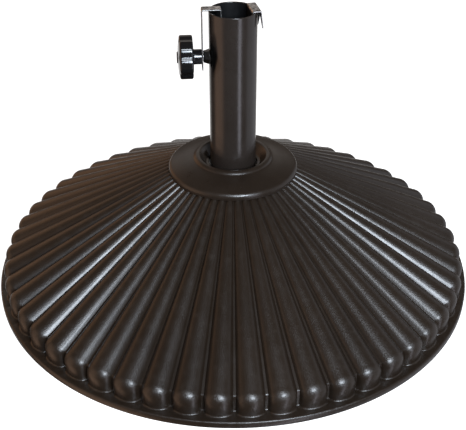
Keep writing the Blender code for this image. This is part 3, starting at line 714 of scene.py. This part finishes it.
def strip(name, sizes):
    """A flat strip swept along its path, in the plane of Y across and Z up."""
    half, thick = sizes["width"] / 2, sizes["thickness"] / 2
    rows = []
    for (x, z), (nx, nz) in strip_path(**sizes):
        near, far = (x - nx * thick, z - nz * thick), (x + nx * thick, z + nz * thick)
        rows.append([(near[0], -half, near[1]), (far[0], -half, far[1]),
                     (far[0], half, far[1]), (near[0], half, near[1])])
    return loft(name, rows, caps=True)


def bare_edges(obj, across, ends=()):
    """Give the second material to faces that look across the strip."""
    for face in obj.data.polygons:
        if abs(face.normal.dot(across)) > 0.8 or any(abs(face.center.z - z) < 0.0002 for z in ends):
            face.material_index = 1


def make_pressure_clip(steel, edge):
    """Narrow strip between the hand screw's neck and tip, over the rim."""
    mesh = strip("pressure", CLIP)
    mesh.transform(Matrix.Rotation(math.pi, 4, "Z"))
    clip = piece("clip_pressure", mesh, [steel, edge], 30)
    cut(clip, drill(FIT_GAP, 0.031, 0.041))
    bare_edges(clip, Vector((0, 1, 0)), (CLIP["inner_foot"], CLIP["outer_foot"]))
    soften(clip, 0.00018, 2, 50)
    stands_for(clip, "clip", "clip_steel", "pressure_clip")


def make_adapter_clip(steel, edge):
    """Wide strip over the far rim, its outer leg cut into three pointed tongues."""
    clip = piece("clip_adapter", strip("adapter", ADAPTER), [steel, edge], 30)
    low = ADAPTER["outer_foot"] - 0.002
    face = ADAPTER["outer"]
    for side in (-1, 1):
        triangle = [(side * TONGUE_HALF, TONGUE_NOTCH_TOP), (side * TONGUE_HALF * TONGUE_POINT, low),
                    (side * (ADAPTER["width"] / 2 - TONGUE_SIDE), low)]
        rows = [[(face + reach, y, z) for y, z in triangle] for reach in (-0.003, 0.003)]
        cut(clip, loft("notch", rows, caps=True))
    for vertex in clip.data.vertices:
        drop = TONGUE_NOTCH_TOP - vertex.co.z
        if drop > 0 and vertex.co.x > TUBE_RADIUS:
            middle = abs(vertex.co.y) < TONGUE_HALF - 0.0001
            vertex.co.x += drop * (-TONGUE_PRESS if middle else TONGUE_FLARE)
    bare_edges(clip, Vector((0, 1, 0)), (ADAPTER["inner_foot"],))
    soften(clip, 0.00016, 2, 50)
    clip.rotation_euler = (0, 0, ADAPTER_ANGLE)
    stands_for(clip, "adapter", "clip_steel", "adapter_clip")


def finish_cad_nodes(finishes):
    """The CAD nodes that stay get the finish of their slot."""
    for name, material in finishes.items():
        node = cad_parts[name]
        node.data.materials.clear()
        node.data.materials.append(material)


# ---------------------------------------------------------------- the studio
CAMERA_PLACE = (-0.0835, -0.9548, 0.6921)
CAMERA_TARGET = (0, 0, 0.0711)
CAMERA_LENS = 70.69
STUDIO_DIM = (0.105, 0.083, 0.068)      # light from where no wall is
STUDIO_WALLS = (
    # azimuth from the camera's side towards +X, elevation, both with a full and a faded half-width
    dict(azimuth=180, elevation=24, width=(20, 34), height=(6, 16), colour=(0.66, 0.60, 0.56)),
    dict(azimuth=180, elevation=-30, width=(22, 50), height=(10, 22), colour=(1.0, 0.98, 0.97)),
    dict(azimuth=-132, elevation=14, width=(12, 30), height=(12, 30), colour=(0.85, 0.48, 0.28)),
    dict(azimuth=-78, elevation=-20, width=(14, 34), height=(45, 60), colour=(1.05, 0.66, 0.45)),
    dict(azimuth=100, elevation=-20, width=(25, 45), height=(40, 60), colour=(0.56, 0.56, 0.60)),
    dict(azimuth=27, elevation=-30, width=(4, 9), height=(40, 55), colour=(3.0, 3.0, 3.4)),
)


def area_light(name, place, target, size, energy, colour):
    """A rectangular softbox that faces its target."""
    light = bpy.data.lights.new(name, "AREA")
    light.shape = "RECTANGLE"
    light.size, light.size_y = size
    light.energy = energy
    light.color = colour
    obj = bpy.data.objects.new(name, light)
    bpy.context.scene.collection.objects.link(obj)
    obj.location = place
    obj.rotation_euler = (Vector(target) - Vector(place)).to_track_quat("-Z", "Y").to_euler()


def around(azimuth, elevation, distance):
    """A point seen from the object, azimuth in degrees from the front (-Y) towards +X."""
    a, e = math.radians(azimuth), math.radians(elevation)
    level = distance * math.cos(e)
    return (level * math.sin(a), -level * math.cos(a), distance * math.sin(e))


def make_studio():
    """A floor that the camera sees as white, two softboxes and the walls around."""
    floor_mesh = bpy.data.meshes.new("floor")
    bm = bmesh.new()
    bmesh.ops.create_grid(bm, x_segments=1, y_segments=1, size=30)
    bm.to_mesh(floor_mesh)
    bm.free()
    floor = bpy.data.objects.new("floor", floor_mesh)
    bpy.context.scene.collection.objects.link(floor)
    floor.location.z = -0.0002
    f = Finish("floor", Roughness=0.9, Specular_IOR_Level=0.0, Emission_Color=(1.0, 1.0, 1.0, 1.0))
    f.link(f.blend(f.noise(3), (0.44, 0.43, 0.42), (0.46, 0.45, 0.44)), "Base Color")
    f.link(f.node("ShaderNodeLightPath").outputs["Is Camera Ray"], "Emission Strength")
    floor_mesh.materials.append(f.material)
    floor.visible_glossy = False

    world = bpy.data.worlds.new("studio")
    bpy.context.scene.world = world
    world.use_nodes = True
    paint_world(world.node_tree)
    area_light("key", around(12, 32, 2.4), (0, 0, 0.06), (0.80, 0.62), 84, (0.80, 0.89, 1.0))
    area_light("key_high", around(3, 51, 2.4), (0, 0, 0.08), (0.85, 0.32), 13, (0.84, 0.91, 1.0))


def paint_world(tree):
    """A white cyclorama for the camera, and soft coloured walls around the object for its light."""
    new, link = tree.nodes.new, tree.links.new

    def math_node(operation, *values):
        node = new("ShaderNodeMath")
        node.operation = operation
        for socket, value in zip(node.inputs, values):
            if isinstance(value, bpy.types.NodeSocket):
                link(value, socket)
            else:
                socket.default_value = value
        return node.outputs[0]

    def mix(share, a, b):
        node = new("ShaderNodeMix")
        node.data_type = "RGBA"
        link(share, node.inputs[0])
        for socket, value in ((node.inputs[6], a), (node.inputs[7], b)):
            if isinstance(value, bpy.types.NodeSocket):
                link(value, socket)
            else:
                socket.default_value = (*value, 1)
        return node.outputs[2]

    def near(value, centre, inner, outer):
        """1 within inner of the centre, falling smoothly to 0 at outer."""
        away = math_node("ABSOLUTE", math_node("SUBTRACT", value, centre))
        node = new("ShaderNodeMapRange")
        node.interpolation_type = "SMOOTHSTEP"
        link(away, node.inputs["Value"])
        for name, number in (("From Min", outer), ("From Max", inner), ("To Min", 0), ("To Max", 1)):
            node.inputs[name].default_value = number
        return node.outputs[0]

    separate = new("ShaderNodeSeparateXYZ")
    link(new("ShaderNodeTexCoord").outputs["Generated"], separate.inputs[0])
    x, y, z = separate.outputs
    azimuth = math_node("DEGREES", math_node("ARCTAN2", x, math_node("MULTIPLY", y, -1.0)))
    elevation = math_node("DEGREES", math_node("ARCSINE", z))
    behind = math_node("SUBTRACT", 180.0, math_node("ABSOLUTE", azimuth))
    colour = STUDIO_DIM
    for wall in STUDIO_WALLS:
        side = behind if wall["azimuth"] == 180 else azimuth
        centre = 0.0 if wall["azimuth"] == 180 else wall["azimuth"]
        share = math_node("MULTIPLY", near(side, centre, *wall["width"]),
                          near(elevation, wall["elevation"], *wall["height"]))
        colour = mix(share, colour, wall["colour"])
    background = tree.nodes["Background"]
    seen = new("ShaderNodeLightPath").outputs["Is Camera Ray"]
    link(mix(seen, colour, (1.0, 1.0, 1.0)), background.inputs["Color"])


def make_camera():
    """At the height and distance of a standing viewer's close look, 33 degrees down."""
    data = bpy.data.cameras.new("camera")
    data.sensor_fit = "HORIZONTAL"
    data.sensor_width = 36
    data.lens = CAMERA_LENS
    camera = bpy.data.objects.new("camera", data)
    bpy.context.scene.collection.objects.link(camera)
    camera.location = CAMERA_PLACE
    view = Vector(CAMERA_TARGET) - Vector(CAMERA_PLACE)
    camera.rotation_euler = view.to_track_quat("-Z", "Y").to_euler()
    bpy.context.scene.camera = camera


# ---------------------------------------------------------------- assembly
coating, steel, sheared, zinc = post_coating(), clip_steel(), cut_steel(), zinc_steel()
make_shell(shell_resin())
make_collar(collar_resin())
make_post(coating, bore_painted_shade())
make_boss(boss_paint())
make_stud(zinc)
make_knob(knob_resin("knob_resin", (0.0045, 0.0045, 0.0050), 0.09))
make_cap(knob_resin("cap_resin", (0.024, 0.018, 0.015), 0.22))
make_pressure_clip(steel, sheared)
make_adapter_clip(steel, sheared)
kept = {"ballast_core": concrete(), "bottom_pan": pan_resin(), "post_end_plate": coating}
for name in ("socket_cup", "anchor_bolt", "anchor_washer", "anchor_nut"):
    kept[name] = zinc
for i in range(6):
    kept[f"pan_screw_{i + 1}"] = zinc
finish_cad_nodes(kept)
make_studio()
make_camera()
bpy.context.scene.view_settings.view_transform = "Standard"
